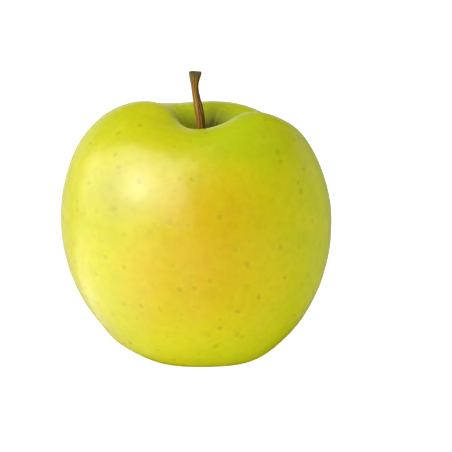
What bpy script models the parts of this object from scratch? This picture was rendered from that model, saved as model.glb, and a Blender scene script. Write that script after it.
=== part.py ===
"""A whole apple: its body with a stem cavity and an eye basin, its dried stem, and its dried calyx.

It stands on a small flat ring of the foot, at z = 0. The origin is the middle of its box, at that height.
+Z runs up the core, and the fuller cheek is at -X.
"""

import bpy
import numpy as np

MM = 0.001

# Place of the core's upright axis in the part's frame, in millimetres.
# The cheeks lie further out at -X than at +X.
CORE_X = 3.07

# Half of the body's outline about the core, in millimetres:
# (distance from the axis, height above the resting plane).
MERIDIAN = [
    (0.0, 55.2), (2.6, 55.8), (5.0, 59.6), (7.65, 64.6), (11.25, 68.55),  # stem cavity, from floor to lip
    (17.8, 70.1),  # crest of the shoulders
    (25.2, 68.0), (31.9, 61.6), (36.8, 51.7), (38.9, 40.7),  # shoulder, down to the widest place
    (38.1, 30.2), (35.0, 19.7), (29.9, 10.5),  # flank
    (23.4, 3.7), (15.6, -0.2), (11.4, 0.35),  # foot, which the resting plane cuts
    (7.8, 4.0), (4.2, 7.0), (0.0, 7.8),  # eye basin, up to its middle
]
CREST = 5
FOOT = 13
WIDEST = 38.9

# Lobes of the shoulders: (azimuth in degrees from +X, rise, spread in degrees).
SHOULDERS = [
    (184, 3.85, 35), (320, 2.85, 27), (22, -2.7, 27),
    (76, 0.55, 32), (135, 0.6, 22), (256, -1.3, 27),
]
SHOULDER_REACH = 0.14
SHOULDER_OUT = 0.35
SHOULDER_OUT_BELOW = 0.12

# Low swellings of the flank and the rim:
# (azimuth, how far out, spread, place along the meridian, reach along it).
SWELLINGS = [(200, 0.9, 40, 0.775, 0.035), (190, 0.2, 40, 0.31, 0.05), (201, -0.5, 32, 0.13, 0.05)]

# A local rise of the cavity's rim: azimuth, rise, spread, place along the meridian, reach along it.
RIM_RISE = (206, 0.55, 18, 0.15, 0.033)

CHEEK_SHIFT = -3.0
CHEEK_POWER = 1.3
CREST_SHIFT = 1.25
CREST_SHIFT_REACH = 0.10
CAVITY_SHIFT = -1.6
CAVITY_SHIFT_REACH = 0.09
DEPTH_RATIO = 0.97

# Five low ribs run round the foot and into the eye basin.
RIBS = 5
RIB_HEIGHT = 0.5
RIB_AZIMUTH = 20
RIB_REACH = 0.12
RIB_FADE = 8.0

BODY_SIDES = 72
BODY_STEPS = 3

# The stem's centre line and thickness, in millimetres: (x and y from the core, height, radius).
STEM = [
    (-1.60, 0.00, 52.5, 1.40),  # foot, in its socket
    (-1.62, 0.00, 57.0, 1.40),
    (-1.66, 0.05, 62.0, 1.32),
    (-1.78, 0.15, 66.7, 1.30),
    (-2.22, 0.25, 71.3, 1.29),
    (-2.86, 0.25, 74.8, 1.13),
    (-3.26, 0.15, 77.4, 1.03),  # narrowest place
    (-3.30, 0.05, 80.0, 1.38),
    (-3.16, 0.00, 82.1, 1.80),  # flared end
]
# The cut end of the stem is a low dome: (share of the end's radius, rise above the end).
STEM_DOME = [(0.80, 0.25), (0.0, 0.35)]
STEM_SIDES = 16
STEM_STEPS = 3
SOCKET_DEPTH = 3.0
GAP = 0.3

# One wall of the calyx, from its root on the basin to a sepal's tip:
# (distance from the axis, drop below the root).
SEPAL_WALL = [(3.1, 0.0), (3.5, 0.9), (3.0, 2.1), (2.1, 3.2), (2.0, 4.1)]
SEPALS = 5
SEPAL_NOTCH = 0.42
SEPAL_POWER = 1.4
SEPAL_THICKNESS = 0.7
SEPAL_TIP_THICKNESS = 0.35
SEPAL_SIDES = 12
SEPAL_STEPS = 2
# The calyx is rooted at this height. Its root swells up into the basin, and its cup is this deep inside.
CALYX_ROOT_HEIGHT = 7.1
CALYX_ROOT_SWELL = 0.3
CALYX_ROOT_EDGE_SWELL = 0.2
CALYX_CUP_DEPTH = 0.9


def clear_scene():
    for obj in list(bpy.data.objects):
        bpy.data.objects.remove(obj)


def make_material(name, colour, roughness):
    material = bpy.data.materials.new(name)
    material.use_nodes = True
    shader = material.node_tree.nodes["Principled BSDF"]
    shader.inputs["Base Color"].default_value = (*colour, 1.0)
    shader.inputs["Roughness"].default_value = roughness
    shader.inputs["Metallic"].default_value = 0.0
    return material


def spline_through(stations, steps, start, end):
    """A clamped cubic spline through the stations, with the same number of steps in each span.

    Returns its points, the share of the length at each point, and the share at each station. start and end
    are the directions in which it leaves and arrives.
    """
    knots = np.array(stations, float)
    chords = np.linalg.norm(np.diff(knots, axis=0), axis=1)
    places = np.concatenate([[0.0], np.cumsum(chords)])
    count = len(knots)
    system = np.eye(count)
    wanted = np.zeros(knots.shape)
    wanted[0] = start
    wanted[-1] = end
    for i in range(1, count - 1):
        before = chords[i - 1]
        after = chords[i]
        system[i, i - 1 : i + 2] = (after, 2 * (before + after), before)
        pull_before = after / before * (knots[i] - knots[i - 1])
        pull_after = before / after * (knots[i + 1] - knots[i])
        wanted[i] = 3 * (pull_before + pull_after)
    slopes = np.linalg.solve(system, wanted)
    points = []
    shares = []
    for i, chord in enumerate(chords):
        for step in range(steps):
            u = step / steps
            here = (2 * u**3 - 3 * u**2 + 1) * knots[i] + (3 * u**2 - 2 * u**3) * knots[i + 1]
            bend = (u**3 - 2 * u**2 + u) * slopes[i] + (u**3 - u**2) * slopes[i + 1]
            points.append(here + chord * bend)
            shares.append(places[i] + u * chord)
    points.append(knots[-1])
    shares.append(places[-1])
    return np.array(points), np.array(shares) / places[-1], places / places[-1]


def bell(value, middle, reach):
    return np.exp(-(((value - middle) / reach) ** 2))


def turned_from(azimuth, middle):
    """The angle from the middle to the azimuth, between -180 and 180 degrees."""
    return (azimuth - middle + 180) % 360 - 180


def circle(sides, way=1):
    """Azimuths in degrees, anticlockwise from above, or clockwise where way is -1.

    Rings that follow each other downwards run clockwise, so that their faces look outwards.
    """
    return way * np.linspace(0, 360, sides, endpoint=False)


def ring_points(centre_x, centre_y, radius, height, azimuth):
    angle = np.radians(azimuth)
    x = centre_x + radius * np.cos(angle)
    y = centre_y + radius * np.sin(angle)
    return np.stack([x, y, height + 0 * angle], axis=-1)


def skin_rings(sides, steps):
    """The skin as rings of points, from the floor of the stem cavity round to the middle of the eye basin."""
    profile, share, stations = spline_through(MERIDIAN, steps, (1, 0), (-1, 0))
    azimuth = circle(sides, -1)[None, :]
    along = share[:, None]
    radius = profile[:, :1]
    height = profile[:, 1:]
    crest = stations[CREST]
    lobes = sum(rise * bell(turned_from(azimuth, middle), 0, spread) for middle, rise, spread in SHOULDERS)
    height = height + lobes * bell(along, crest, SHOULDER_REACH)
    radius = radius + SHOULDER_OUT * lobes * bell(along, crest + SHOULDER_OUT_BELOW, SHOULDER_OUT_BELOW)
    for middle, out, spread, place, reach in SWELLINGS:
        radius = radius + out * bell(turned_from(azimuth, middle), 0, spread) * bell(along, place, reach)
    middle, rise, spread, place, reach = RIM_RISE
    height = height + rise * bell(turned_from(azimuth, middle), 0, spread) * bell(along, place, reach)
    cheek = CHEEK_SHIFT * np.clip(radius / WIDEST, 0, None) ** CHEEK_POWER
    crest_lean = CREST_SHIFT * bell(along, crest, CREST_SHIFT_REACH)
    cavity_lean = CAVITY_SHIFT * bell(along, 0, CAVITY_SHIFT_REACH)
    rib = RIB_HEIGHT * np.cos(np.radians(RIBS * (azimuth - RIB_AZIMUTH)))
    rib = rib * bell(along, stations[FOOT], RIB_REACH) * np.clip(radius / RIB_FADE, 0, 1)
    angle = np.radians(azimuth)
    x = (radius + rib) * np.cos(angle) + cheek + crest_lean + cavity_lean
    y = (radius + rib) * np.sin(angle) * DEPTH_RATIO
    z = np.maximum(height, 0.0)
    return np.stack([x, y, z], axis=-1)


def body_rings():
    """The skin's rings, opened at the top by the socket in which the stem stands."""
    skin = skin_rings(BODY_SIDES, BODY_STEPS)
    foot_x, foot_y, foot_height, foot_radius = STEM[0]
    socket = foot_radius + GAP
    floor = foot_height - GAP
    azimuth = circle(BODY_SIDES, -1)
    wall = [ring_points(foot_x, foot_y, socket, height, azimuth) for height in (floor, floor + SOCKET_DEPTH)]
    first_clear = next(i for i, ring in enumerate(skin) if ring[:, 1].max() > socket + GAP)
    rings = wall + list(skin[first_clear:-1])
    return rings, (foot_x, foot_y, floor), tuple(skin[-1].mean(axis=0))


def stem_rings():
    """Rings along the stem's centre line, with a low dome on the cut end."""
    line, _, _ = spline_through(STEM, STEM_STEPS, (0, 0, 1, 0), (0, 0, 1, 0))
    azimuth = circle(STEM_SIDES)
    rings = [ring_points(x, y, radius, height, azimuth) for x, y, height, radius in line]
    end_x, end_y, end_height, end_radius = STEM[-1]
    (rim_share, rim_rise), (_, top_rise) = STEM_DOME
    rings.append(ring_points(end_x, end_y, rim_share * end_radius, end_height + rim_rise, azimuth))
    foot_x, foot_y, foot_height, _ = STEM[0]
    return rings, (foot_x, foot_y, foot_height), (end_x, end_y, end_height + top_rise)


def calyx_rings():
    """A dried cup whose rim runs out into sepals, hanging from the middle of the eye basin."""
    wall, share, _ = spline_through(SEPAL_WALL, SEPAL_STEPS, (0.4, 1), (0.3, 1))
    azimuth = circle(SEPALS * SEPAL_SIDES, -1)
    sepal = np.abs(np.cos(np.radians(SEPALS / 2 * azimuth))) ** SEPAL_POWER
    reach = SEPAL_NOTCH + (1 - SEPAL_NOTCH) * sepal
    half_root = SEPAL_WALL[0][0] / 2
    rings = [ring_points(0, 0, half_root, CALYX_ROOT_HEIGHT + CALYX_ROOT_EDGE_SWELL, azimuth)]
    outside = []
    inside = []
    for part in share:
        radius = np.interp(part * reach, share, wall[:, 0])
        height = CALYX_ROOT_HEIGHT - np.interp(part * reach, share, wall[:, 1])
        thickness = SEPAL_THICKNESS + (SEPAL_TIP_THICKNESS - SEPAL_THICKNESS) * part * reach
        outside.append(ring_points(0, 0, radius, height, azimuth))
        inside.append(ring_points(0, 0, radius - thickness, height, azimuth))
    floor = CALYX_ROOT_HEIGHT - CALYX_CUP_DEPTH
    below_floor = [ring for ring in inside if ring[:, 2].max() < floor]
    rings.extend(outside)
    rings.extend(reversed(below_floor))
    rings.append(ring_points(0, 0, half_root, floor, azimuth))
    return rings, (0, 0, CALYX_ROOT_HEIGHT + CALYX_ROOT_SWELL), (0, 0, floor)


def closed_mesh(name, rings, first, last):
    """One closed body from rings of equal size, with a point at each end."""
    sides = len(rings[0])
    points = np.concatenate([np.array([first]), *rings, np.array([last])]) * MM
    points[:, 0] += CORE_X * MM
    faces = []
    for j in range(sides):
        k = (j + 1) % sides
        faces.append((0, 1 + k, 1 + j))
    for i in range(len(rings) - 1):
        low = 1 + i * sides
        high = low + sides
        for j in range(sides):
            k = (j + 1) % sides
            faces.append((low + j, low + k, high + k, high + j))
    end = len(points) - 1
    for j in range(sides):
        k = (j + 1) % sides
        faces.append((end - sides + j, end - sides + k, end))
    mesh = bpy.data.meshes.new(name)
    mesh.from_pydata(points.tolist(), [], faces)
    mesh.validate()
    mesh.shade_smooth()
    return mesh


def add_piece(name, rings_and_ends, material, parent):
    rings, first, last = rings_and_ends
    mesh = closed_mesh(name, rings, first, last)
    mesh.materials.append(material)
    piece = bpy.data.objects.new(name, mesh)
    piece.parent = parent
    bpy.context.scene.collection.objects.link(piece)
    return piece


def build():
    clear_scene()
    core = bpy.data.objects.new("core_frame", None)
    bpy.context.scene.collection.objects.link(core)
    add_piece("apple_body", body_rings(), make_material("skin", (0.62, 0.60, 0.03), 0.38), core)
    add_piece("stem", stem_rings(), make_material("stem_wood", (0.20, 0.10, 0.035), 0.75), core)
    add_piece("calyx", calyx_rings(), make_material("dried_sepals", (0.13, 0.09, 0.045), 0.85), core)


build()
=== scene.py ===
"""Looks of a whole apple: its skin, dry stem and dried calyx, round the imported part, in soft studio light.

Shapes are worked out in millimetres about the core's upright axis. mesh_object turns them into metres in the
part's frame.
"""

import math

import bpy
import numpy as np
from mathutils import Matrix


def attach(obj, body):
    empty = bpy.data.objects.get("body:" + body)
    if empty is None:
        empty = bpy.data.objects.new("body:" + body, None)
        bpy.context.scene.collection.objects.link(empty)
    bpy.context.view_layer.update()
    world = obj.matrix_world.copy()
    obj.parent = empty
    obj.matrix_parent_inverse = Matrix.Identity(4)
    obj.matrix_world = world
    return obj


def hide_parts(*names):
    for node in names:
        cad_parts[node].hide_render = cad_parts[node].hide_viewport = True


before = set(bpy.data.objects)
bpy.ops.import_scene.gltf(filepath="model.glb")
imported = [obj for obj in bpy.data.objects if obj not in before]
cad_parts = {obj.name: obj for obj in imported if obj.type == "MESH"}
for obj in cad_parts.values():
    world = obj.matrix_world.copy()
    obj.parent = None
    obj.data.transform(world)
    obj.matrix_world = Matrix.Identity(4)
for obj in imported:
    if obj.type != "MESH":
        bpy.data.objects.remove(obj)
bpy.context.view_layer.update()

# Metres to the millimetre, and how far the core's axis stands to the right of the part's origin.
MM = 0.001
CORE_X = 3.07

# The skin's shape, with the same named sizes as the part's source:
# (distance from the axis, height) along the meridian.
MERIDIAN = [
    (0.0, 55.2), (2.6, 55.8), (5.0, 59.6), (7.65, 64.6), (11.25, 68.55),  # stem cavity, from floor to lip
    (17.8, 70.1),  # crest of the shoulders
    (25.2, 68.0), (31.9, 61.6), (36.8, 51.7), (38.9, 40.7),  # shoulder, down to the widest place
    (38.1, 30.2), (35.0, 19.7), (29.9, 10.5),  # flank
    (23.4, 3.7), (15.6, -0.2), (11.4, 0.35),  # foot, which the resting plane cuts
    (7.8, 4.0), (4.2, 7.0), (0.0, 7.8),  # eye basin, up to its middle
]

# Places in the list above of the crest and of the foot, and the distance from the axis at the widest place.
CREST = 5
FOOT = 13
WIDEST = 38.9

# Lobes of the shoulders: (azimuth in degrees from +X, rise, spread in degrees).
SHOULDERS = [
    (184, 3.85, 35), (320, 2.85, 27), (22, -2.7, 27),
    (76, 0.55, 32), (135, 0.6, 22), (256, -1.3, 27),
]

# How far along the meridian a lobe reaches, and how far out it also pushes the skin below it.
SHOULDER_REACH = 0.14
SHOULDER_OUT = 0.35
SHOULDER_OUT_BELOW = 0.12

# Low swellings of the flank and the rim:
# (azimuth, how far out, spread, place along the meridian, reach along it).
SWELLINGS = [(200, 0.9, 40, 0.775, 0.035), (190, 0.2, 40, 0.31, 0.05), (201, -0.5, 32, 0.13, 0.05)]

# A local rise of the cavity's rim: azimuth, rise, spread, place along the meridian, reach along it.
RIM_RISE = (206, 0.55, 18, 0.15, 0.033)

# Cheeks, crest and cavity are shifted along X, each by its own amount, so the apple is a little lopsided.
# Seen from above it is also a little shallower than wide.
CHEEK_SHIFT = -3.0
CHEEK_POWER = 1.3
CREST_SHIFT = 1.25
CREST_SHIFT_REACH = 0.10
CAVITY_SHIFT = -1.6
CAVITY_SHIFT_REACH = 0.09
DEPTH_RATIO = 0.97

# Five low ribs run round the foot and into the eye basin.
RIBS = 5
RIB_HEIGHT = 0.5
RIB_AZIMUTH = 20
RIB_REACH = 0.12
RIB_FADE = 8.0

# Points to each ring of the skin, and rings to each span of the meridian.
SKIN_SIDES = 360
SKIN_STEPS = 13

# Fine unevenness of the skin: (waves to the millimetre, height in millimetres). The skin is set in a
# little, so that its waves stay inside the solid's size.
SKIN_WAVES = [(0.045, 0.05), (0.09, 0.03), (0.2, 0.012)]
SKIN_WAVES_SEED = 7
WAVES_EACH = 6
SKIN_INSET = 0.12

# The stem's centre line and thickness: (x and y from the core, height, radius).
STEM = [
    (-1.60, 0.00, 52.5, 1.40),  # foot, sunk in the flesh
    (-1.62, 0.00, 57.0, 1.40),
    (-1.66, 0.05, 62.0, 1.32),
    (-1.78, 0.15, 66.7, 1.30),
    (-2.22, 0.25, 71.3, 1.29),
    (-2.86, 0.25, 74.8, 1.13),
    (-3.26, 0.15, 77.4, 1.03),  # narrowest place
    (-3.30, 0.05, 80.0, 1.38),
    (-3.16, 0.00, 82.1, 1.80),  # flared end
]

# Points to each ring of the stem, and rings to each span of its centre line.
STEM_SIDES = 72
STEM_STEPS = 16

# Ridges along the stem: (ridges round it, height as a share of the radius, turn along the stem in degrees).
STEM_RIDGES = [(2, 0.06, 60), (5, 0.045, 25), (9, 0.03, -30), (17, 0.016, 20)]

# Each ridge swells and fades on its way up the stem, and each starts elsewhere on it than the one before.
RIDGE_SWELL = 0.25
RIDGE_SWELL_TURN = 7.0
RIDGE_SWELL_STEP = 2.1
RIDGE_STEP = 77

# The scar on the stem's end: (share of the end's radius, height above the end). Two low notches cross it, and
# the grain runs on over it for a small share of the stem's length.
STEM_SCAR = [(0.93, 0.20), (0.82, 0.12), (0.62, -0.08), (0.35, -0.22), (0.15, -0.26)]
SCAR_NOTCH = 0.08
SCAR_NOTCH_AZIMUTH = 40
SCAR_LENGTH = 0.05

# One wall of the calyx, as in the part's source: (distance from the axis, drop below the root).
SEPAL_WALL = [(3.1, 0.0), (3.5, 0.9), (3.0, 2.1), (2.1, 3.2), (2.0, 4.1)]

# The cup's rim parts into sepals below the notches between them, and each sepal thins towards its tip.
SEPALS = 5
SEPAL_NOTCH = 0.42
SEPAL_POWER = 1.4
SEPAL_THICKNESS = 0.55
SEPAL_TIP_THICKNESS = 0.22
SEPAL_SIDES = 30
CALYX_STEPS = 9

# Where the calyx meets the flesh, how far it swells up into it, and how deep its cup is.
CALYX_ROOT_HEIGHT = 7.3
CALYX_ROOT_SWELL = 0.45
CALYX_CUP_DEPTH = 1.1

# Each sepal's length as a share of the wall, how far its tip bends outwards, and its twist in degrees.
SEPAL_FORMS = [(1.0, 0.9, 8), (0.88, 0.2, -10), (0.97, 1.3, 5), (0.92, -0.1, 12), (0.85, 0.7, -6)]
SEPAL_EDGE_ROLL = 0.45
SEPAL_CREASE = 0.22
SEPAL_CREASE_WIDTH = 0.25

# Wrinkles round the calyx: (how many, height in millimetres).
CALYX_WRINKLES = [(13, 0.07), (29, 0.045), (47, 0.03)]

# Withered stamens in the cup: how many, distance from the axis, length from and to, thickness, and how they
# start, lean and taper.
STAMENS = 11
STAMEN_SEED = 11
STAMEN_DISTANCE = (0.7, 1.7)
STAMEN_LENGTH = (1.6, 2.7)
STAMEN_RADIUS = 0.13
STAMEN_ROOT = 0.3
STAMEN_TURN = 60
STAMEN_LEAN = (0.1, 0.8)
STAMEN_TAPER = 0.4
STAMEN_SIDES = 8
STAMEN_RINGS = 9

# The knob at a stamen's end: how far it swells, its place along the stamen and its reach.
STAMEN_KNOB = (1.1, 0.88, 0.09)

# The camera, from the photograph, 452 pixels square: AIM_PX is where the core shows at the height aimed at.
IMAGE_PX = 452
AIM_PX = (207.0, 231.6)
AIM_HEIGHT = 35.75
MM_PER_PX = 0.2878
CAMERA_ELEVATION = 14
CAMERA_DISTANCE = 600
SENSOR_WIDTH = 36

# Fields of colour on the skin: (azimuth, spread in degrees, height, reach in millimetres, weight).
BLUSHES = [(276, 26, 39.5, 21.5, 0.90), (247, 11, 28, 13, 0.33), (120, 45, 40, 18, 0.35)]
GREENS = [
    (345, 34, 45, 40, 0.5), (291, 27, 68, 7.5, 1.15), (60, 80, 60, 22, 0.6),
    (180, 60, 70, 6, 0.25), (280, 120, 2, 9, 0.35),
]

# The same for patches of painted shade that darken the skin: under the highlight, on the front and right
# shoulder, and the stem's shadow on the rim behind it.
PAINTED_SHADE_PATCHES = [
    (236, 20, 55, 8.5, 0.31), (290, 18, 50, 11, 0.07),
    (330, 24, 64, 12, 0.10), (84, 16, 70, 3, 0.18),
]

# How far the colours and the finish of the cavity and the basin reach, as shares of the meridian.
CAVITY_GREEN_REACH = 0.15
BASIN_REACH = 0.10
# The cavity's russet is partly the skin's own and partly painted shade, which darkens the cavity towards its
# floor.
CAVITY_RUSSET_AND_SHADE = 0.8
CAVITY_RUSSET_AND_SHADE_REACH = 0.118
BASIN_RUSSET_REACH = 0.035
CAVITY_MATTE_REACH = 0.118
CAVITY_DULL_REACH = 0.155

# The side of the cavity where the russet and its painted shade are densest and reach furthest up.
SIDE_RUSSET_AND_SHADE = 1.1
SIDE_RUSSET_AND_SHADE_AZIMUTH = 78
SIDE_RUSSET_AND_SHADE_SPREAD = 26
SIDE_RUSSET_AND_SHADE_REACH = 0.125

# Streaks run from end to end: they are stretched along the meridian.
STREAK_STRETCH = 0.6

# Colours of the skin, as linear light.
YELLOW = (0.84, 0.79, 0.003)
GREEN = (0.62, 0.74, 0.003)
BLUSH = (0.88, 0.56, 0.003)
# Russet of the cavity and the basin; in the cavity it also paints the shade.
RUSSET_AND_SHADE = (0.10, 0.075, 0.006)
DOT = (0.50, 0.35, 0.004)
HALO = (0.90, 0.84, 0.012)
BLACK = (0.0, 0.0, 0.0)
WHITE = (1.0, 1.0, 1.0)

# Fineness of the skin's patterns, to the metre. That of the streaks is to the unit of their own coordinates.
STREAK_SCALE = 9.0
BLOTCH_SCALE = 55.0
MOTTLE_SCALE = 160.0
FRECKLE_SCALE = 430.0
FINE_SCALE = 900.0
DOT_EDGE_SCALE = 420.0
DOT_EDGE_WOBBLE = 0.0016
RUSSET_AND_SHADE_COVER = 0.95
SKIN_ROUGHNESS = (0.19, 0.24)
MATTE_ROUGHNESS = 0.75
SKIN_BUMP = (0.03, 0.0002)

# Two scatters of dots: dots to the metre, size as a share of the spacing, strength of the pale halo, and
# strength of the faintest and the plainest dots.
DOT_LAYERS = [(230.0, 0.27, 0.16, 0.12, 0.46), (150.0, 0.22, 0.10, 0.0, 0.42)]

# Colours of the stem, as linear light.
BARK = (0.50, 0.21, 0.018)
BARK_LIGHT = (0.78, 0.45, 0.085)
# Dark bark, also used to paint the shade down one side of the stem.
DARK_BARK_AND_SHADE = (0.12, 0.055, 0.004)
SCAR = (0.14, 0.105, 0.028)
GRAIN_SCALE = 3.2
GRAIN_STRETCH = (1.6, 1.6, 1.2)
STEM_ROUGHNESS = (0.62, 0.8)
STEM_BUMP = (0.5, 0.0003)

# Colours of the calyx, as linear light.
SEPAL_DARK = (0.045, 0.028, 0.014)
SEPAL_BROWN = (0.15, 0.10, 0.05)
SEPAL_WOOL = (0.36, 0.31, 0.22)
WOOL_SCALE = 1100.0
BROWN_SCALE = 420.0
SEPAL_ROUGHNESS = 0.9
SEPAL_BUMP = (0.6, 0.0002)

# Softboxes: name, azimuth and elevation in degrees, width and height in metres, power in watts.
LAMPS = [
    ("key", 240, 35, (1.1, 1.1), 6.45),
    ("overhead", 208, 66, (1.1, 1.1), 2.7),
    ("right_side", 48, 7, (0.9, 0.35), 5.1),
    ("left_rim", 148, 42, (0.7, 0.7), 1.0),
    ("left_side", 146, 24, (0.9, 0.9), 2.35),
    ("behind", 90, 35, (0.9, 0.9), 1.0),
]
LAMP_DISTANCE = 1.2

# What the gloss reflects, as patches of a screen round the apple: azimuths from and to, elevations from and
# to, softness, all in degrees, and radiance.
SCREEN_PATCHES = [
    (157, 172, 8, 32, 6, 3.6),
    (172, 222, 8, 68, 8, 4.7),
    (222, 257, 15, 44, 6, 4.3),
    (222, 247, 44, 66, 6, 4.3),
    (201, 224, 23, 45, 7, 9.2),
    (157, 238, -20, 8, 7, 2.1),
    (238, 272, -20, 8, 8, 0.7),
    (85, 156, -20, 22, 9, 0.62),
    (0, 85, -20, 22, 9, 0.20),
]
SCREEN_DISTANCE = 0.9
SCREEN_STEP = 3
SCREEN_AZIMUTHS = np.arange(-39, 291, SCREEN_STEP)
SCREEN_ELEVATIONS = np.arange(-1, 85, SCREEN_STEP)

# The same on a card that lies on the floor round the apple: azimuths from and to and their softness in
# degrees, and radiance. It fades out towards the apple's foot.
CARD_PATCHES = [(163, 240, 7, 2.15), (240, 275, 6, 0.65), (85, 161, 8, 0.55), (0, 85, 8, 0.20)]
CARD_RADII = np.array([0.020, 0.032, 0.043, 0.056, 0.1, 0.2, 0.5, 0.95])
CARD_FADE = 0.040
CARD_HEIGHT = 0.0015

# The studio: a dim light from all round, a white floor and a white wall. The floor that the camera sees
# lights nothing. A second one just below it, which no camera sees, throws light up at the apple.
WORLD_LIGHT = 0.30
STUDIO_RADIUS = 5.0
STUDIO_HEIGHT = 5.0
STUDIO_SIDES = 64
FLOOR_GREY = (0.40, 0.40, 0.40)
FLOOR_GLOW = 0.92
WALL_GLOW = 1.0
BOUNCE_GREY = (0.85, 0.85, 0.85)
BOUNCE_GLOW = 0.26
BOUNCE_DROP = 0.0005


def spline_through(stations, steps, start, end):
    """A clamped cubic spline through the stations, with the same number of steps in each span.

    Returns its points, the share of the length at each point, and the share at each station. start and end
    are the directions in which it leaves and arrives.
    """
    knots = np.array(stations, float)
    chords = np.linalg.norm(np.diff(knots, axis=0), axis=1)
    places = np.concatenate([[0.0], np.cumsum(chords)])
    count = len(knots)
    system = np.eye(count)
    wanted = np.zeros(knots.shape)
    wanted[0] = start
    wanted[-1] = end
    for i in range(1, count - 1):
        before = chords[i - 1]
        after = chords[i]
        system[i, i - 1 : i + 2] = (after, 2 * (before + after), before)
        pull_before = after / before * (knots[i] - knots[i - 1])
        pull_after = before / after * (knots[i + 1] - knots[i])
        wanted[i] = 3 * (pull_before + pull_after)
    slopes = np.linalg.solve(system, wanted)
    points = []
    shares = []
    for i, chord in enumerate(chords):
        for step in range(steps):
            u = step / steps
            here = (2 * u**3 - 3 * u**2 + 1) * knots[i] + (3 * u**2 - 2 * u**3) * knots[i + 1]
            bend = (u**3 - 2 * u**2 + u) * slopes[i] + (u**3 - u**2) * slopes[i + 1]
            points.append(here + chord * bend)
            shares.append(places[i] + u * chord)
    points.append(knots[-1])
    shares.append(places[-1])
    return np.array(points), np.array(shares) / places[-1], places / places[-1]


def bell(value, middle, reach):
    return np.exp(-(((value - middle) / reach) ** 2))


def plateau(value, middle, reach):
    """Like a bell, but flatter on top and steeper at its sides."""
    return np.exp(-(((value - middle) / reach) ** 4))


def turned_from(azimuth, middle):
    """The angle from the middle to the azimuth, between -180 and 180 degrees."""
    return (azimuth - middle + 180) % 360 - 180


def circle(sides, way=1):
    """Azimuths in degrees, anticlockwise from above, or clockwise where way is -1.

    Rings that follow each other downwards run clockwise, so that their faces look outwards.
    """
    return way * np.linspace(0, 360, sides, endpoint=False)


def ring_points(centre_x, centre_y, radius, height, azimuth):
    angle = np.radians(azimuth)
    x = centre_x + radius * np.cos(angle)
    y = centre_y + radius * np.sin(angle)
    return np.stack([x, y, height + 0 * angle], axis=-1)


def waves_at(points, table, seed):
    """Smooth unevenness at the points: a few sine waves for each row of the table, in ways the seed draws."""
    draw = np.random.default_rng(seed)
    total = np.zeros(points.shape[:-1])
    for frequency, height in table:
        for _ in range(WAVES_EACH):
            heading = draw.normal(size=3)
            heading *= 2 * math.pi * frequency / np.linalg.norm(heading)
            total += height * 0.5 * np.sin(points @ heading + draw.uniform(0, 2 * math.pi))
    return total


def skin_rings(sides, steps):
    """The skin as rings of points, from the floor of the stem cavity round to the middle of the eye basin.

    Returns the rings, their shares of the meridian, and their azimuths.
    """
    profile, share, stations = spline_through(MERIDIAN, steps, (1, 0), (-1, 0))
    azimuth = circle(sides, -1)[None, :]
    along = share[:, None]
    radius = profile[:, :1]
    height = profile[:, 1:]
    crest = stations[CREST]
    lobes = sum(rise * bell(turned_from(azimuth, middle), 0, spread) for middle, rise, spread in SHOULDERS)
    height = height + lobes * bell(along, crest, SHOULDER_REACH)
    radius = radius + SHOULDER_OUT * lobes * bell(along, crest + SHOULDER_OUT_BELOW, SHOULDER_OUT_BELOW)
    for middle, out, spread, place, reach in SWELLINGS:
        radius = radius + out * bell(turned_from(azimuth, middle), 0, spread) * bell(along, place, reach)
    middle, rise, spread, place, reach = RIM_RISE
    height = height + rise * bell(turned_from(azimuth, middle), 0, spread) * bell(along, place, reach)
    cheek = CHEEK_SHIFT * np.clip(radius / WIDEST, 0, None) ** CHEEK_POWER
    crest_lean = CREST_SHIFT * bell(along, crest, CREST_SHIFT_REACH)
    cavity_lean = CAVITY_SHIFT * bell(along, 0, CAVITY_SHIFT_REACH)
    rib = RIB_HEIGHT * np.cos(np.radians(RIBS * (azimuth - RIB_AZIMUTH)))
    rib = rib * bell(along, stations[FOOT], RIB_REACH) * np.clip(radius / RIB_FADE, 0, 1)
    angle = np.radians(azimuth)
    x = (radius + rib) * np.cos(angle) + cheek + crest_lean + cavity_lean
    y = (radius + rib) * np.sin(angle) * DEPTH_RATIO
    rings = np.stack([x, y, height], axis=-1)
    uneven = waves_at(rings, SKIN_WAVES, SKIN_WAVES_SEED) - SKIN_INSET
    out_of_axis = np.clip(radius / WIDEST, 0, 1)
    rings[..., 0] += uneven * np.cos(angle) * out_of_axis
    rings[..., 1] += uneven * np.sin(angle) * out_of_axis
    rings[..., 2] += uneven * bell(along, crest, SHOULDER_REACH)
    rings[..., 2] = np.maximum(rings[..., 2], 0.0)
    return rings, along, azimuth


def patches_at(azimuth, height, table, across_height):
    """The sum of soft patches of colour at each point, from a table of their places, sizes and weights."""
    total = np.zeros(height.shape)
    for middle, spread, level, reach, weight in table:
        total += weight * bell(turned_from(azimuth, middle), 0, spread) * across_height(height, level, reach)
    return total


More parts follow.
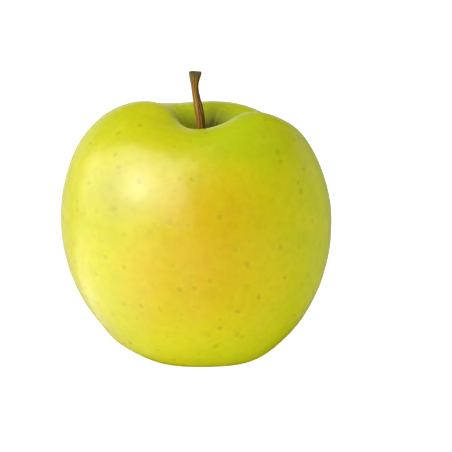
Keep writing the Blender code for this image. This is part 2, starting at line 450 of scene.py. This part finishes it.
def skin_fields(rings, along, azimuth):
    """Where the skin is blushed, green, darkened by painted shade, russet (in the cavity also painted shade),
    matte or dull, and its streaks' coordinates.
    """
    height = rings[..., 2]
    blush = patches_at(azimuth, height, BLUSHES, plateau)
    green = patches_at(azimuth, height, GREENS, bell)
    painted_shade = patches_at(azimuth, height, PAINTED_SHADE_PATCHES, bell)
    cavity = bell(along, 0, CAVITY_GREEN_REACH)
    basin = bell(along, 1, BASIN_REACH)
    side = bell(turned_from(azimuth, SIDE_RUSSET_AND_SHADE_AZIMUTH), 0, SIDE_RUSSET_AND_SHADE_SPREAD)
    # Russet, which in the cavity is also painted shade, darkest at its floor and up one side.
    russet_and_shade = CAVITY_RUSSET_AND_SHADE * plateau(along, 0, CAVITY_RUSSET_AND_SHADE_REACH) + bell(along, 1, BASIN_RUSSET_REACH)
    russet_and_shade = russet_and_shade + SIDE_RUSSET_AND_SHADE * side * plateau(along, 0, SIDE_RUSSET_AND_SHADE_REACH)
    matte = plateau(along, 0, CAVITY_MATTE_REACH) + plateau(along, 1, BASIN_REACH)
    dull = plateau(along, 0, CAVITY_DULL_REACH)
    angle = np.radians(azimuth)
    streak = [np.cos(angle) + 0 * along, np.sin(angle) + 0 * along, STREAK_STRETCH * along + 0 * angle]
    return {
        "blush": blush,
        "green": green + cavity + basin,
        "russet_and_shade": russet_and_shade,
        "matte": matte + 0 * angle,
        "dull": dull + 0 * angle,
        "painted_shade": painted_shade,
        "streak": np.stack(streak, axis=-1),
    }


def stem_rings():
    """The stem's rings from its foot up, over the rim of its end and down into the scar."""
    line, share, _ = spline_through(STEM, STEM_STEPS, (0, 0, 1, 0), (0, 0, 1, 0))
    azimuth = circle(STEM_SIDES)
    rings = []
    shares = []
    for (x, y, height, radius), part in zip(line, share):
        rings.append(ring_points(x, y, radius * stem_outline(azimuth, part), height, azimuth))
        shares.append(part)
    end_x, end_y, end_height, end_radius = STEM[-1]
    rim = stem_outline(azimuth, 1.0)
    for radius_share, rise in STEM_SCAR:
        lift = rise + SCAR_NOTCH * np.cos(np.radians(2 * azimuth + SCAR_NOTCH_AZIMUTH)) * radius_share
        rings.append(ring_points(end_x, end_y, end_radius * radius_share * rim, end_height + lift, azimuth))
        shares.append(1.0 + SCAR_LENGTH * (1 - radius_share))
    foot_x, foot_y, foot_height, _ = STEM[0]
    return rings, (foot_x, foot_y, foot_height), (end_x, end_y, end_height + STEM_SCAR[-1][1]), shares


def stem_outline(azimuth, part):
    """The stem's radius at each azimuth, as a share of its mean, with ridges that turn on the way up."""
    outline = np.ones(azimuth.shape)
    for number, (count, height, turn) in enumerate(STEM_RIDGES):
        swell = 1 - RIDGE_SWELL + RIDGE_SWELL * math.sin(RIDGE_SWELL_TURN * part + RIDGE_SWELL_STEP * number)
        turned = count * azimuth + turn * count * part + RIDGE_STEP * number
        outline += height * swell * np.cos(np.radians(turned))
    return outline


def calyx_rings():
    """A dried cup whose rim runs out into shrivelled sepals, hanging from the middle of the eye basin."""
    wall, share, _ = spline_through(SEPAL_WALL, CALYX_STEPS, (0.4, 1), (0.3, 1))
    azimuth = circle(SEPALS * SEPAL_SIDES, -1)
    number = np.round(azimuth * SEPALS / 360).astype(int) % SEPALS
    across = turned_from(azimuth, number * 360 / SEPALS) / (180 / SEPALS)
    length, bend, twist = np.array(SEPAL_FORMS)[number].T
    sepal = np.abs(np.cos(np.radians(SEPALS / 2 * azimuth))) ** SEPAL_POWER
    reach = SEPAL_NOTCH + (1 - SEPAL_NOTCH) * sepal * length
    wrinkle = sum(high * np.cos(np.radians(count * azimuth + 50 * count)) for count, high in CALYX_WRINKLES)
    half_root = SEPAL_WALL[0][0] / 2
    rings = [ring_points(0, 0, half_root, CALYX_ROOT_HEIGHT + CALYX_ROOT_SWELL, azimuth)]
    outside = []
    inside = []
    for part in share:
        down = part * reach
        free = np.clip((down - SEPAL_NOTCH) / (1 - SEPAL_NOTCH), 0, 1)
        radius = np.interp(down, share, wall[:, 0]) + bend * free**2 + wrinkle * part
        crease = SEPAL_CREASE * bell(across, 0, SEPAL_CREASE_WIDTH)
        radius = radius - SEPAL_EDGE_ROLL * across**2 * free - crease * free
        height = CALYX_ROOT_HEIGHT - np.interp(down, share, wall[:, 1])
        thickness = SEPAL_THICKNESS + (SEPAL_TIP_THICKNESS - SEPAL_THICKNESS) * down
        turned = azimuth + twist * free
        outside.append(ring_points(0, 0, radius, height, turned))
        inside.append(ring_points(0, 0, radius - thickness, height, turned))
    floor = CALYX_ROOT_HEIGHT - CALYX_CUP_DEPTH
    below_floor = [ring for ring in inside if ring[:, 2].max() < floor]
    rings.extend(outside)
    rings.extend(reversed(below_floor))
    rings.append(ring_points(0, 0, half_root, floor, azimuth))
    return rings, (0, 0, CALYX_ROOT_HEIGHT + CALYX_ROOT_SWELL), (0, 0, floor)


def stamen_rings(draw):
    """One withered stamen, from the floor of the calyx cup down to its knob."""
    turn = draw.uniform(0, 360)
    start_x, start_y, _ = draw.uniform(*STAMEN_DISTANCE) * direction(turn, 0)
    start = np.array([start_x, start_y, CALYX_ROOT_HEIGHT - CALYX_CUP_DEPTH + STAMEN_ROOT])
    lean = direction(turn + draw.uniform(-STAMEN_TURN, STAMEN_TURN), 0) * draw.uniform(*STAMEN_LEAN)
    length = draw.uniform(*STAMEN_LENGTH)
    azimuth = circle(STAMEN_SIDES, -1)
    swell, knob_place, knob_reach = STAMEN_KNOB
    rings = []
    for part in np.linspace(0, 1, STAMEN_RINGS):
        x, y, height = start + lean * part**2 - np.array([0, 0, length * part])
        radius = STAMEN_RADIUS * (1 - STAMEN_TAPER * part + swell * bell(part, knob_place, knob_reach))
        rings.append(ring_points(x, y, radius, height, azimuth))
    return rings, rings[0].mean(axis=0), rings[-1].mean(axis=0) - (0, 0, STAMEN_RADIUS)


def faces_of(ring_count, sides):
    """Faces of a closed mesh whose points are a first point, the rings, and a last point."""
    j = np.arange(sides)
    k = (j + 1) % sides
    faces = [(0, 1 + b, 1 + a) for a, b in zip(j, k)]
    for i in range(ring_count - 1):
        low = 1 + i * sides
        high = low + sides
        faces.extend(np.stack([low + j, low + k, high + k, high + j], axis=1).tolist())
    end = 1 + ring_count * sides
    faces.extend((end - sides + a, end - sides + b, end) for a, b in zip(j, k))
    return faces


def mesh_object(name, points, faces, material):
    """A smooth object from points in millimetres about the core."""
    mesh = bpy.data.meshes.new(name)
    placed = (np.array(points, float) + (CORE_X, 0, 0)) * MM
    mesh.from_pydata(placed.tolist(), [], faces)
    mesh.validate()
    mesh.shade_smooth()
    mesh.materials.append(material)
    obj = bpy.data.objects.new(name, mesh)
    bpy.context.scene.collection.objects.link(obj)
    return obj


def give_field(obj, name, values):
    """Stores one number or one vector for each point of the mesh, for the materials to read."""
    values = np.asarray(values, np.float32)
    kind, key = ("FLOAT_VECTOR", "vector") if values.ndim == 2 else ("FLOAT", "value")
    obj.data.attributes.new(name, kind, "POINT").data.foreach_set(key, values.ravel())


def add_skin():
    rings, along, azimuth = skin_rings(SKIN_SIDES, SKIN_STEPS)
    fields = skin_fields(rings, along, azimuth)
    inner = slice(1, -1)
    first = rings[0].mean(axis=0)
    last = rings[-1].mean(axis=0)
    points = np.concatenate([[first], rings[inner].reshape(-1, 3), [last]])
    skin = mesh_object("skin", points, faces_of(len(rings) - 2, SKIN_SIDES), skin_material())
    for name, values in fields.items():
        size = values.shape[2:]
        ends = [values[0].mean(axis=0)[None], values[-1].mean(axis=0)[None]]
        give_field(skin, name, np.concatenate([ends[0], values[inner].reshape(-1, *size), ends[1]]))
    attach(skin, "root")
    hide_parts("apple_body")


def add_stem():
    rings, first, last, shares = stem_rings()
    points = np.concatenate([[first], *rings, [last]])
    stem = mesh_object("woody_stem", points, faces_of(len(rings), STEM_SIDES), stem_material())
    angle = np.radians(circle(STEM_SIDES))
    part = np.repeat(shares, STEM_SIDES)
    fibre = np.stack([np.tile(np.cos(angle), len(rings)), np.tile(np.sin(angle), len(rings)), part], axis=1)
    give_field(stem, "fibre", np.concatenate([[(0, 0, shares[0])], fibre, [(0, 0, shares[-1])]]))
    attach(stem, "root")
    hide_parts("stem")


def add_calyx():
    draw = np.random.default_rng(STAMEN_SEED)
    points = []
    faces = []
    for rings, first, last in [calyx_rings()] + [stamen_rings(draw) for _ in range(STAMENS)]:
        start = len(points)
        points.extend(np.concatenate([[first], *rings, [last]]))
        faces.extend([start + corner for corner in face] for face in faces_of(len(rings), len(rings[0])))
    calyx = mesh_object("dried_calyx", points, faces, calyx_material())
    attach(calyx, "root")
    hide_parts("calyx")


class Nodes:
    """Short calls for building a material out of nodes."""

    def __init__(self, name):
        self.material = bpy.data.materials.new(name)
        self.material.use_nodes = True
        self.tree = self.material.node_tree
        self.shader = self.tree.nodes["Principled BSDF"]

    def node(self, kind, **settings):
        made = self.tree.nodes.new(kind)
        for key, value in settings.items():
            setattr(made, key, value)
        return made

    def link(self, source, target):
        self.tree.links.new(source, target)

    def put(self, socket, value):
        if isinstance(value, bpy.types.NodeSocket):
            self.link(value, socket)
        elif isinstance(value, tuple) and len(value) == 3 and socket.type == "RGBA":
            socket.default_value = (*value, 1.0)
        else:
            socket.default_value = value

    def field(self, name, output="Fac"):
        return self.node("ShaderNodeAttribute", attribute_name=name).outputs[output]

    def place(self):
        return self.node("ShaderNodeTexCoord").outputs["Object"]

    def math(self, operation, first, second, clamp=False):
        made = self.node("ShaderNodeMath", operation=operation, use_clamp=clamp)
        self.put(made.inputs[0], first)
        self.put(made.inputs[1], second)
        return made.outputs[0]

    def noise(self, where, scale, detail=2.0, roughness=0.5, stretch=None):
        if stretch:
            mapping = self.node("ShaderNodeMapping")
            self.link(where, mapping.inputs["Vector"])
            mapping.inputs["Scale"].default_value = stretch
            where = mapping.outputs[0]
        made = self.node("ShaderNodeTexNoise")
        self.link(where, made.inputs["Vector"])
        made.inputs["Scale"].default_value = scale
        made.inputs["Detail"].default_value = detail
        made.inputs["Roughness"].default_value = roughness
        return made.outputs["Fac"]

    def spots(self, where, scale):
        """Distance from the nearest of many scattered points, and that point's own colour."""
        made = self.node("ShaderNodeTexVoronoi")
        self.link(where, made.inputs["Vector"])
        made.inputs["Scale"].default_value = scale
        return made.outputs["Distance"], made.outputs["Color"]

    def wobble(self, where, scale, amount):
        """The place, moved a little this way and that, so that what is drawn there gets ragged edges."""
        noise = self.node("ShaderNodeTexNoise")
        self.link(where, noise.inputs["Vector"])
        noise.inputs["Scale"].default_value = scale
        shift = self.node("ShaderNodeVectorMath", operation="MULTIPLY_ADD")
        self.link(noise.outputs["Color"], shift.inputs[0])
        shift.inputs[1].default_value = (amount, amount, amount)
        self.link(where, shift.inputs[2])
        return shift.outputs[0]

    def ramp(self, value, low, high, first=0.0, last=1.0):
        made = self.node("ShaderNodeMapRange", interpolation_type="SMOOTHSTEP")
        self.put(made.inputs["Value"], value)
        for socket, number in zip(("From Min", "From Max", "To Min", "To Max"), (low, high, first, last)):
            made.inputs[socket].default_value = number
        return made.outputs["Result"]

    def mix(self, share, first, second):
        made = self.node("ShaderNodeMix", data_type="RGBA")
        self.put(made.inputs["Factor"], share)
        self.put(made.inputs[6], first)
        self.put(made.inputs[7], second)
        return made.outputs[2]

    def bump(self, height, strength, distance):
        made = self.node("ShaderNodeBump")
        self.put(made.inputs["Height"], height)
        made.inputs["Strength"].default_value = strength
        made.inputs["Distance"].default_value = distance
        return made.outputs["Normal"]


def skin_material():
    """Waxy skin: yellow that turns green or blushed by place, with streaks, mottling, dots, russet that also
    paints the cavity's shade, and patches of painted shade.
    """
    n = Nodes("apple_skin")
    where = n.place()
    streak = n.field("streak", "Vector")
    streaks = n.noise(streak, STREAK_SCALE, detail=4.0, roughness=0.6)
    mottle = n.noise(where, MOTTLE_SCALE, detail=3.0)
    blotch = n.noise(where, BLOTCH_SCALE, detail=2.0)
    green = n.math("ADD", n.field("green"), n.ramp(blotch, 0.3, 0.7, -0.22, 0.22))
    green = n.math("ADD", green, n.ramp(streaks, 0.3, 0.7, -0.05, 0.05), clamp=True)
    colour = n.mix(green, YELLOW, GREEN)
    blush = n.math("MULTIPLY", n.field("blush"), n.ramp(streaks, 0.25, 0.75, 0.85, 1.1))
    blush = n.math("MULTIPLY", blush, n.ramp(mottle, 0.3, 0.7, 0.85, 1.15), clamp=True)
    colour = n.mix(blush, colour, BLUSH)
    colour = n.mix(n.ramp(mottle, 0.45, 0.75, 0.0, 0.22), colour, HALO)
    ragged = n.wobble(where, DOT_EDGE_SCALE, DOT_EDGE_WOBBLE)
    for spacing, edge, halo_strength, low, high in DOT_LAYERS:
        distance, cell = n.spots(ragged, spacing)
        halo = n.ramp(distance, 0.6 * edge, 1.7 * edge, 1.0, 0.0)
        colour = n.mix(n.math("MULTIPLY", halo, halo_strength), colour, HALO)
        dot = n.ramp(distance, 0.15 * edge, edge, 1.0, 0.0)
        colour = n.mix(n.math("MULTIPLY", dot, n.ramp(cell, 0.2, 0.8, low, high)), colour, DOT)
    # Russet in the cavity and the basin; in the cavity it is also painted shade, darkest at the floor.
    russet_and_shade = n.math("MULTIPLY", n.field("russet_and_shade"), n.ramp(streaks, 0.3, 0.6, 0.75, 1.1), clamp=True)
    colour = n.mix(n.math("MULTIPLY", russet_and_shade, RUSSET_AND_SHADE_COVER), colour, RUSSET_AND_SHADE)
    freckle = n.noise(where, FRECKLE_SCALE, detail=3.0, roughness=0.6)
    # Painted shade darkens the skin in patches, and fine freckles darken it at random.
    shade_and_freckles = n.math("ADD", n.field("painted_shade"), n.ramp(freckle, 0.40, 0.68, 0.0, 0.055))
    colour = n.mix(shade_and_freckles, colour, BLACK)
    n.put(n.shader.inputs["Base Color"], colour)
    polish = n.ramp(mottle, 0.3, 0.7, *SKIN_ROUGHNESS)
    matte = n.math("MULTIPLY", n.field("matte"), MATTE_ROUGHNESS)
    n.put(n.shader.inputs["Roughness"], n.math("ADD", polish, matte))
    n.put(n.shader.inputs["Specular IOR Level"], 0.5)
    n.put(n.shader.inputs["Specular Tint"], n.mix(n.field("dull"), WHITE, BLACK))
    fine = n.noise(where, FINE_SCALE, detail=2.0)
    n.put(n.shader.inputs["Normal"], n.bump(fine, *SKIN_BUMP))
    return n.material


def stem_material():
    """Dry wood with fine lengthwise fibres, painted shade down its side towards +X, and a darker, greyish
    scar on its end.
    """
    n = Nodes("stem_wood_grain")
    fibre = n.field("fibre", "Vector")
    grain = n.noise(fibre, GRAIN_SCALE, detail=6.0, roughness=0.65, stretch=GRAIN_STRETCH)
    colour = n.mix(n.ramp(grain, 0.35, 0.62), DARK_BARK_AND_SHADE, BARK)
    colour = n.mix(n.ramp(grain, 0.47, 0.64), colour, BARK_LIGHT)
    parts = n.node("ShaderNodeSeparateXYZ")
    n.link(fibre, parts.inputs[0])
    # Painted shade: the stem is darkened down its side towards +X, away from the key light.
    shaded_side = n.math("ADD", parts.outputs[0], n.ramp(grain, 0.3, 0.7, 0.35, -0.35))
    colour = n.mix(n.ramp(shaded_side, 0.0, 0.6, 0.0, 0.9), colour, DARK_BARK_AND_SHADE)
    colour = n.mix(n.ramp(parts.outputs[2], 0.78, 0.93, 0.0, 0.4), colour, DARK_BARK_AND_SHADE)
    colour = n.mix(n.ramp(parts.outputs[2], 0.92, 1.0), colour, SCAR)
    n.put(n.shader.inputs["Base Color"], colour)
    n.put(n.shader.inputs["Roughness"], n.ramp(grain, 0.3, 0.7, *STEM_ROUGHNESS))
    n.put(n.shader.inputs["Specular IOR Level"], 0.2)
    n.put(n.shader.inputs["Normal"], n.bump(grain, *STEM_BUMP))
    return n.material


def calyx_material():
    """Shrivelled leaf: dark brown, with patches of pale, woolly hair."""
    n = Nodes("dried_sepal_wool")
    where = n.place()
    grain = n.noise(where, WOOL_SCALE, detail=5.0, roughness=0.6)
    patches = n.noise(where, BROWN_SCALE, detail=3.0)
    colour = n.mix(n.ramp(patches, 0.35, 0.65), SEPAL_DARK, SEPAL_BROWN)
    colour = n.mix(n.ramp(grain, 0.52, 0.68), colour, SEPAL_WOOL)
    n.put(n.shader.inputs["Base Color"], colour)
    n.put(n.shader.inputs["Roughness"], SEPAL_ROUGHNESS)
    n.put(n.shader.inputs["Specular IOR Level"], 0.25)
    n.put(n.shader.inputs["Sheen Weight"], 0.25)
    n.put(n.shader.inputs["Normal"], n.bump(grain, *SEPAL_BUMP))
    return n.material


def add_camera():
    """The photograph's view: its direction, distance and place of the core in the frame."""
    elevation = math.radians(CAMERA_ELEVATION)
    back = np.array([0, -math.cos(elevation), math.sin(elevation)])
    up = np.array([0, math.sin(elevation), math.cos(elevation)])
    right = np.array([1.0, 0, 0])
    aim = np.array([CORE_X, 0, AIM_HEIGHT])
    aim = aim + right * (IMAGE_PX / 2 - AIM_PX[0]) * MM_PER_PX
    aim = aim + up * (AIM_PX[1] - IMAGE_PX / 2) * MM_PER_PX
    data = bpy.data.cameras.new("camera")
    data.sensor_width = SENSOR_WIDTH
    data.lens = SENSOR_WIDTH * CAMERA_DISTANCE / (IMAGE_PX * MM_PER_PX)
    data.clip_start = 0.01
    camera = bpy.data.objects.new("camera", data)
    camera.location = (aim + back * CAMERA_DISTANCE) * MM
    camera.rotation_euler = (math.radians(90 - CAMERA_ELEVATION), 0, 0)
    bpy.context.scene.collection.objects.link(camera)
    bpy.context.scene.camera = camera


def direction(azimuth, elevation):
    """The way out from the apple at an azimuth from +X and an elevation above the floor, both in degrees."""
    a = math.radians(azimuth)
    e = math.radians(elevation)
    return np.array([math.cos(a) * math.cos(e), math.sin(a) * math.cos(e), math.sin(e)])


def add_softbox(name, azimuth, elevation, size, power):
    """A broad lamp, aimed at the apple, that leaves no reflection in it. Its power is in watts."""
    data = bpy.data.lights.new(name, "AREA")
    data.shape = "RECTANGLE"
    data.size, data.size_y = size
    data.energy = power
    light = bpy.data.objects.new(name, data)
    light.location = direction(azimuth, elevation) * LAMP_DISTANCE + (0, 0, AIM_HEIGHT * MM)
    light.rotation_euler = (math.radians(90 - elevation), 0, math.radians(azimuth + 90))
    light.visible_glossy = False
    bpy.context.scene.collection.objects.link(light)


def soft_window(value, low, high, softness):
    """1 between low and high and 0 outside, with soft steps at both."""
    return 0.5 * (np.tanh((value - low) / softness) - np.tanh((value - high) / softness))


def add_reflector(name, points, glow, columns):
    """A glowing sheet that shows only as a reflection. Its points, in metres, come row by row."""
    rows = len(points) // columns
    faces = []
    for i in range(rows - 1):
        for j in range(columns - 1):
            low = i * columns + j
            faces.append((low, low + 1, low + columns + 1, low + columns))
    mesh = bpy.data.meshes.new(name)
    mesh.from_pydata(np.array(points).tolist(), [], faces)
    n = Nodes(name)
    n.put(n.shader.inputs["Base Color"], BLACK)
    n.put(n.shader.inputs["Specular IOR Level"], 0.0)
    n.put(n.shader.inputs["Emission Color"], WHITE)
    n.put(n.shader.inputs["Emission Strength"], n.field("glow"))
    mesh.materials.append(n.material)
    sheet = bpy.data.objects.new(name, mesh)
    give_field(sheet, "glow", glow)
    sheet.visible_camera = False
    sheet.visible_diffuse = False
    sheet.visible_shadow = False
    bpy.context.scene.collection.objects.link(sheet)


def add_reflections():
    """A screen that stands round all but the front right of the apple, and a card on the floor."""
    middle = np.array([0, 0, AIM_HEIGHT * MM])
    points = []
    for elevation in SCREEN_ELEVATIONS:
        points.extend(middle + direction(azimuth, elevation) * SCREEN_DISTANCE for azimuth in SCREEN_AZIMUTHS)
    azimuth, elevation = np.meshgrid(SCREEN_AZIMUTHS, SCREEN_ELEVATIONS)
    glow = np.zeros(azimuth.shape)
    for az_from, az_to, el_from, el_to, softness, radiance in SCREEN_PATCHES:
        patch = soft_window(azimuth, az_from, az_to, softness)
        patch = patch * soft_window(elevation, el_from, el_to, softness)
        glow += radiance * patch
    add_reflector("studio_screen", points, glow.ravel(), len(SCREEN_AZIMUTHS))
    points = []
    for radius in CARD_RADII:
        points.extend(direction(azimuth, 0) * radius + (0, 0, CARD_HEIGHT) for azimuth in SCREEN_AZIMUTHS)
    glow = np.zeros(len(SCREEN_AZIMUTHS))
    for az_from, az_to, softness, radiance in CARD_PATCHES:
        glow += radiance * soft_window(SCREEN_AZIMUTHS, az_from, az_to, softness)
    beyond_foot = np.clip((CARD_RADII - CARD_RADII[0]) / CARD_FADE, 0, 1)
    add_reflector("floor_card", points, np.outer(beyond_foot, glow).ravel(), len(SCREEN_AZIMUTHS))


def add_lights():
    for lamp in LAMPS:
        add_softbox(*lamp)


def add_world():
    """A dim, even glow from all round, which lights the apple but leaves no reflection in it."""
    world = bpy.data.worlds.new("studio")
    world.use_nodes = True
    background = world.node_tree.nodes["Background"]
    background.inputs["Color"].default_value = (1, 1, 1, 1)
    background.inputs["Strength"].default_value = WORLD_LIGHT
    bpy.context.scene.world = world
    world.cycles_visibility.glossy = False


def stage_sheet(name, points, faces, colour, glow):
    """A plain sheet of the studio with a white glow, which no gloss reflects."""
    mesh = bpy.data.meshes.new(name)
    mesh.from_pydata(points, [], faces)
    n = Nodes(name)
    n.put(n.shader.inputs["Base Color"], colour)
    n.put(n.shader.inputs["Roughness"], 0.9)
    n.put(n.shader.inputs["Specular IOR Level"], 0.0)
    n.put(n.shader.inputs["Emission Color"], WHITE)
    n.put(n.shader.inputs["Emission Strength"], glow)
    mesh.materials.append(n.material)
    sheet = bpy.data.objects.new(name, mesh)
    sheet.visible_glossy = False
    bpy.context.scene.collection.objects.link(sheet)
    return sheet


def add_studio():
    """A round white floor, one below it that throws light up, and a wall at its edge that lights nothing."""
    rim = [tuple(direction(azimuth, 0) * STUDIO_RADIUS) for azimuth in circle(STUDIO_SIDES)]
    disc = [tuple(range(STUDIO_SIDES))]
    floor = stage_sheet("floor", rim, disc, FLOOR_GREY, FLOOR_GLOW)
    floor.visible_diffuse = False
    floor.visible_shadow = False
    low_rim = [(x, y, -BOUNCE_DROP) for x, y, _ in rim]
    bounce = stage_sheet("floor_bounce", low_rim, disc, BOUNCE_GREY, BOUNCE_GLOW)
    bounce.visible_camera = False
    top = [(x, y, STUDIO_HEIGHT) for x, y, _ in rim]
    sides = range(STUDIO_SIDES)
    nexts = [(j + 1) % STUDIO_SIDES for j in sides]
    panels = [(j, k, STUDIO_SIDES + k, STUDIO_SIDES + j) for j, k in zip(sides, nexts)]
    wall = stage_sheet("wall", rim + top, panels, BLACK, WALL_GLOW)
    wall.visible_diffuse = False
    wall.visible_shadow = False


bpy.context.scene.view_settings.view_transform = "Standard"
add_camera()
add_world()
add_lights()
add_reflections()
add_studio()
add_skin()
add_stem()
add_calyx()
